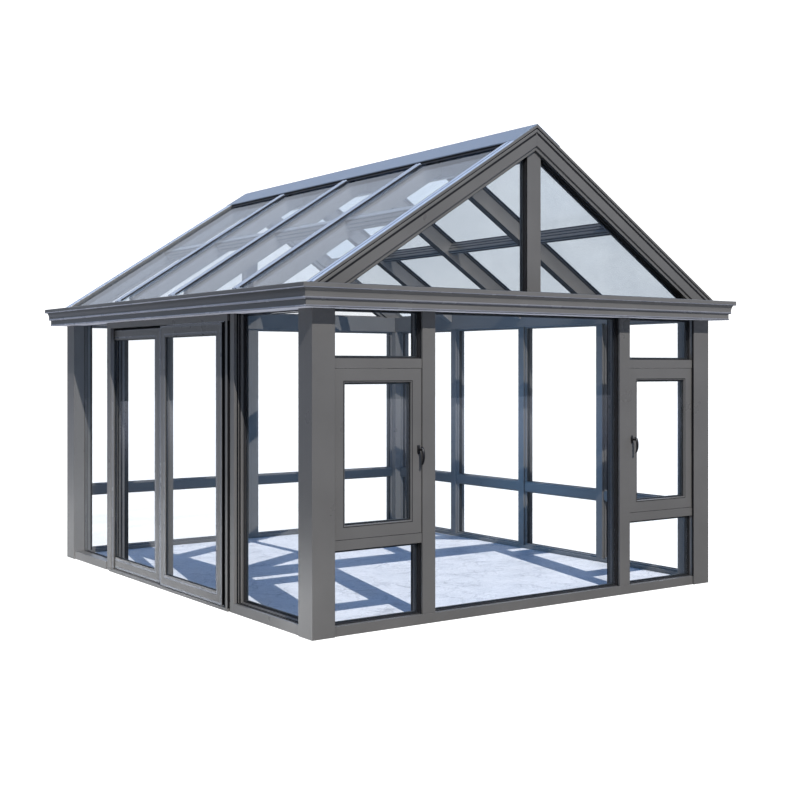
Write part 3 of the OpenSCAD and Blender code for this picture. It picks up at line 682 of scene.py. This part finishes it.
lit = dome([(0.0, (0.18, 0.18, 0.18)), (0.49, (0.13, 0.135, 0.14)), (0.52, (0.10, 0.11, 0.12)),
            (0.70, (0.14, 0.185, 0.27)), (1.0, (0.085, 0.37, 0.95))], 1.0)
seen = dome([(0.0, (0.22, 0.24, 0.28)), (0.49, (0.24, 0.28, 0.34)), (0.51, (0.16, 0.18, 0.21)), (0.565, (0.36, 0.44, 0.58)),
             (0.65, (1.18, 1.25, 1.42)), (0.74, (1.30, 1.40, 1.62)), (0.84, (0.75, 1.0, 1.5)), (1.0, (0.20, 0.42, 0.92))], 1.0)
white = node(nt, "Background", Strength=1.35)
white.inputs["Color"].default_value = (1.0, 1.0, 1.0, 1.0)
lp = nt.nodes.new("ShaderNodeLightPath")
glo = nt.nodes.new("ShaderNodeMixShader")
nt.links.new(lp.outputs["Is Glossy Ray"], glo.inputs["Fac"])
nt.links.new(lit, glo.inputs[1])
nt.links.new(seen, glo.inputs[2])
mx = nt.nodes.new("ShaderNodeMixShader")
nt.links.new(lp.outputs["Is Camera Ray"], mx.inputs["Fac"])
nt.links.new(glo.outputs[0], mx.inputs[1])
nt.links.new(white.outputs[0], mx.inputs[2])
nt.links.new(mx.outputs[0], wo.inputs["Surface"])

sun = bpy.data.lights.new("sun", "SUN")
sun.energy = 5.35
sun.angle = math.radians(0.3)
sun.color = (1.0, 0.97, 0.93)
so = bpy.data.objects.new("sun", sun)
scene.collection.objects.link(so)
so.rotation_euler = Vector((0.186, 0.720, -0.669)).to_track_quat("-Z", "Y").to_euler()
# The rails at the far side stand in shade
shaded = bpy.data.collections.new("shaded")
shaded.objects.link(NODES["mid_rails"])
for c in shaded.collection_objects:
    c.light_linking.link_state = "EXCLUDE"
so.light_linking.receiver_collection = shaded

left_wall = bpy.data.collections.new("left_wall")
for name in ("corner_posts", "left_mullion", "wall_sills", "door_head", "door_threshold", "door_jambs", "near_door_panel", "far_door_panel", "cornice_left"):
    left_wall.objects.link(NODES[name])
for name in ("near_door_beads", "far_door_beads", "near_door_rims", "far_door_rims", "jamb_painted_highlight", "cornice_highlight_lines_left"):
    left_wall.objects.link(bpy.data.objects[name])
for name, length, height, energy, place in (("fill", 6.4, 0.5, 215, (-3.2, 1.9, 0.05)), ("fill_near", 1.2, 0.3, 27, (-2.85, -2.45, 0.05))):
    fill = bpy.data.lights.new(name, "AREA")
    fill.shape = "RECTANGLE"
    fill.size, fill.size_y = length, height
    fill.energy = energy
    fill.color = (0.93, 0.96, 1.0)
    fo = bpy.data.objects.new(name, fill)
    scene.collection.objects.link(fo)
    fo.location = place
    fo.rotation_euler = Vector((1.0, -0.05, 0.0)).to_track_quat("-Z", "Y").to_euler()
    fo.visible_camera = False
    fo.visible_glossy = False
    fo.light_linking.receiver_collection = left_wall

# Skylight inside, on the frame only
sky = bpy.data.lights.new("skylight", "POINT")
sky.energy = 200
sky.shadow_soft_size = 0.5
sky.color = (0.22, 0.52, 1.0)
ko = bpy.data.objects.new("skylight", sky)
scene.collection.objects.link(ko)
ko.location = (0.4, -0.2, 1.1)
ko.visible_camera = False
ko.visible_glossy = False
inside = bpy.data.collections.new("inside")
for name, o in NODES.items():
    if name != "floor_slab" and not name.endswith("glass") and not name.startswith("roof_glass"):
        inside.objects.link(o)
for name in ("mullion_covers", "wall_beads", "door_linings", "sash_beads"):
    inside.objects.link(bpy.data.objects[name])
ko.light_linking.receiver_collection = inside

# Soft light on the frame from behind
rear = bpy.data.lights.new("rear_light", "SUN")
rear.energy = 1.5
rear.angle = math.radians(30)
rear.color = (1.0, 0.985, 0.96)
ro = bpy.data.objects.new("rear_light", rear)
scene.collection.objects.link(ro)
ro.rotation_euler = Vector((-0.62, -0.70, -0.35)).to_track_quat("-Z", "Y").to_euler()
ro.visible_camera = False
ro.visible_glossy = False
rear_side = bpy.data.collections.new("rear_side")
unlit = [o for name, o in NODES.items() if name.endswith("glass") or name.startswith("roof_glass") or name == "floor_slab"]
for o in list(scene.objects):
    if o.type == "MESH" and o not in unlit:
        rear_side.objects.link(o)
ro.light_linking.receiver_collection = rear_side

# Light from the sunny ground under the cornice
bounce = bpy.data.lights.new("ground_light", "AREA")
bounce.shape = "SQUARE"
bounce.size = 12.0
bounce.energy = 600
bounce.color = (0.97, 0.97, 1.0)
bo = bpy.data.objects.new("ground_light", bounce)
scene.collection.objects.link(bo)
bo.location = (0.0, 0.0, 0.02)
bo.rotation_euler = (math.radians(180), 0.0, 0.0)
bo.visible_camera = False
bo.visible_glossy = False
under = bpy.data.collections.new("under_cornice")
under.objects.link(bpy.data.objects["soffit_boards_painted_light"])
for name in ("cornice_front", "cornice_right", "cornice_back"):
    under.objects.link(NODES[name])
bo.light_linking.receiver_collection = under

# Sunlit rafters seen through the gable
warm = bpy.data.lights.new("rafter_light", "AREA")
warm.shape = "RECTANGLE"
warm.size, warm.size_y = 3.0, 1.5
warm.energy = 1700
warm.color = (1.0, 0.95, 0.90)
wl = bpy.data.objects.new("rafter_light", warm)
scene.collection.objects.link(wl)
wl.location = (-1.0, -10.0, 4.0)
wl.rotation_euler = (math.radians(90), 0.0, 0.0)
wl.visible_camera = False
wl.visible_glossy = False
roof_frame = bpy.data.collections.new("roof_frame")
for name, o in NODES.items():
    if name.startswith(("rafters", "purlin", "ridge_beam")):
        roof_frame.objects.link(o)
wl.light_linking.receiver_collection = roof_frame

bpy.ops.mesh.primitive_plane_add(size=120, location=(0, 0, -0.001))
floor = bpy.context.object
floor.name = "studio_floor"
m, nt, out = tree("studio_floor")
em = node(nt, "Emission", Strength=1.25)
em.inputs["Color"].default_value = (1.0, 1.0, 1.0, 1.0)
n = node(nt, "TexNoise", Scale=3.0, Detail=3.0)
nt.links.new(position(nt), n.inputs["Vector"])
pale = ramp(nt, n.outputs["Fac"], [(0.3, (0.10, 0.10, 0.10)), (0.7, (0.11, 0.11, 0.11))])
df = node(nt, "BsdfDiffuse")
nt.links.new(pale.outputs["Color"], df.inputs["Color"])
ad = nt.nodes.new("ShaderNodeAddShader")
nt.links.new(em.outputs[0], ad.inputs[0])
nt.links.new(df.outputs[0], ad.inputs[1])
bounce = node(nt, "BsdfDiffuse")
bounce.inputs["Color"].default_value = (0.42, 0.42, 0.42, 1.0)
# For reflected rays the floor glows: painted reflection, dark near the house and bright far off
far_off = nt.nodes.new("ShaderNodeVectorMath")
far_off.operation = "LENGTH"
nt.links.new(position(nt), far_off.inputs[0])
part = nt.nodes.new("ShaderNodeMath")
part.operation = "MULTIPLY"
part.inputs[1].default_value = 1.0 / 60
nt.links.new(far_off.outputs["Value"], part.inputs[0])
tone = ramp(nt, part.outputs[0], [(0.08, (0.06, 0.075, 0.10)), (0.25, (0.14, 0.17, 0.22)), (0.5, (0.62, 0.66, 0.82)), (0.9, (0.85, 0.88, 1.0))])
mirrored = node(nt, "Emission", Strength=1.0)
nt.links.new(tone.outputs["Color"], mirrored.inputs["Color"])
lp = nt.nodes.new("ShaderNodeLightPath")
off = nt.nodes.new("ShaderNodeMixShader")
nt.links.new(lp.outputs["Is Glossy Ray"], off.inputs["Fac"])
nt.links.new(bounce.outputs[0], off.inputs[1])
nt.links.new(mirrored.outputs[0], off.inputs[2])
mx = nt.nodes.new("ShaderNodeMixShader")
nt.links.new(lp.outputs["Is Camera Ray"], mx.inputs["Fac"])
nt.links.new(off.outputs[0], mx.inputs[1])
nt.links.new(ad.outputs[0], mx.inputs[2])
nt.links.new(mx.outputs[0], out.inputs["Surface"])
floor.data.materials.append(m)

cam = bpy.data.cameras.new("camera")
co = bpy.data.objects.new("camera", cam)
scene.collection.objects.link(co)
co.location = (-6.9104, -10.3298, 2.0063)
co.rotation_euler = (math.pi / 2, 0, -math.radians(35.2845))
cam.sensor_width = 36
cam.lens = 1245.13 / 800 * 36
cam.shift_y = -(400 - 367.69) / 800
scene.camera = co
scene.view_settings.view_transform = "Standard"
scene.cycles.transparent_max_bounces = 32
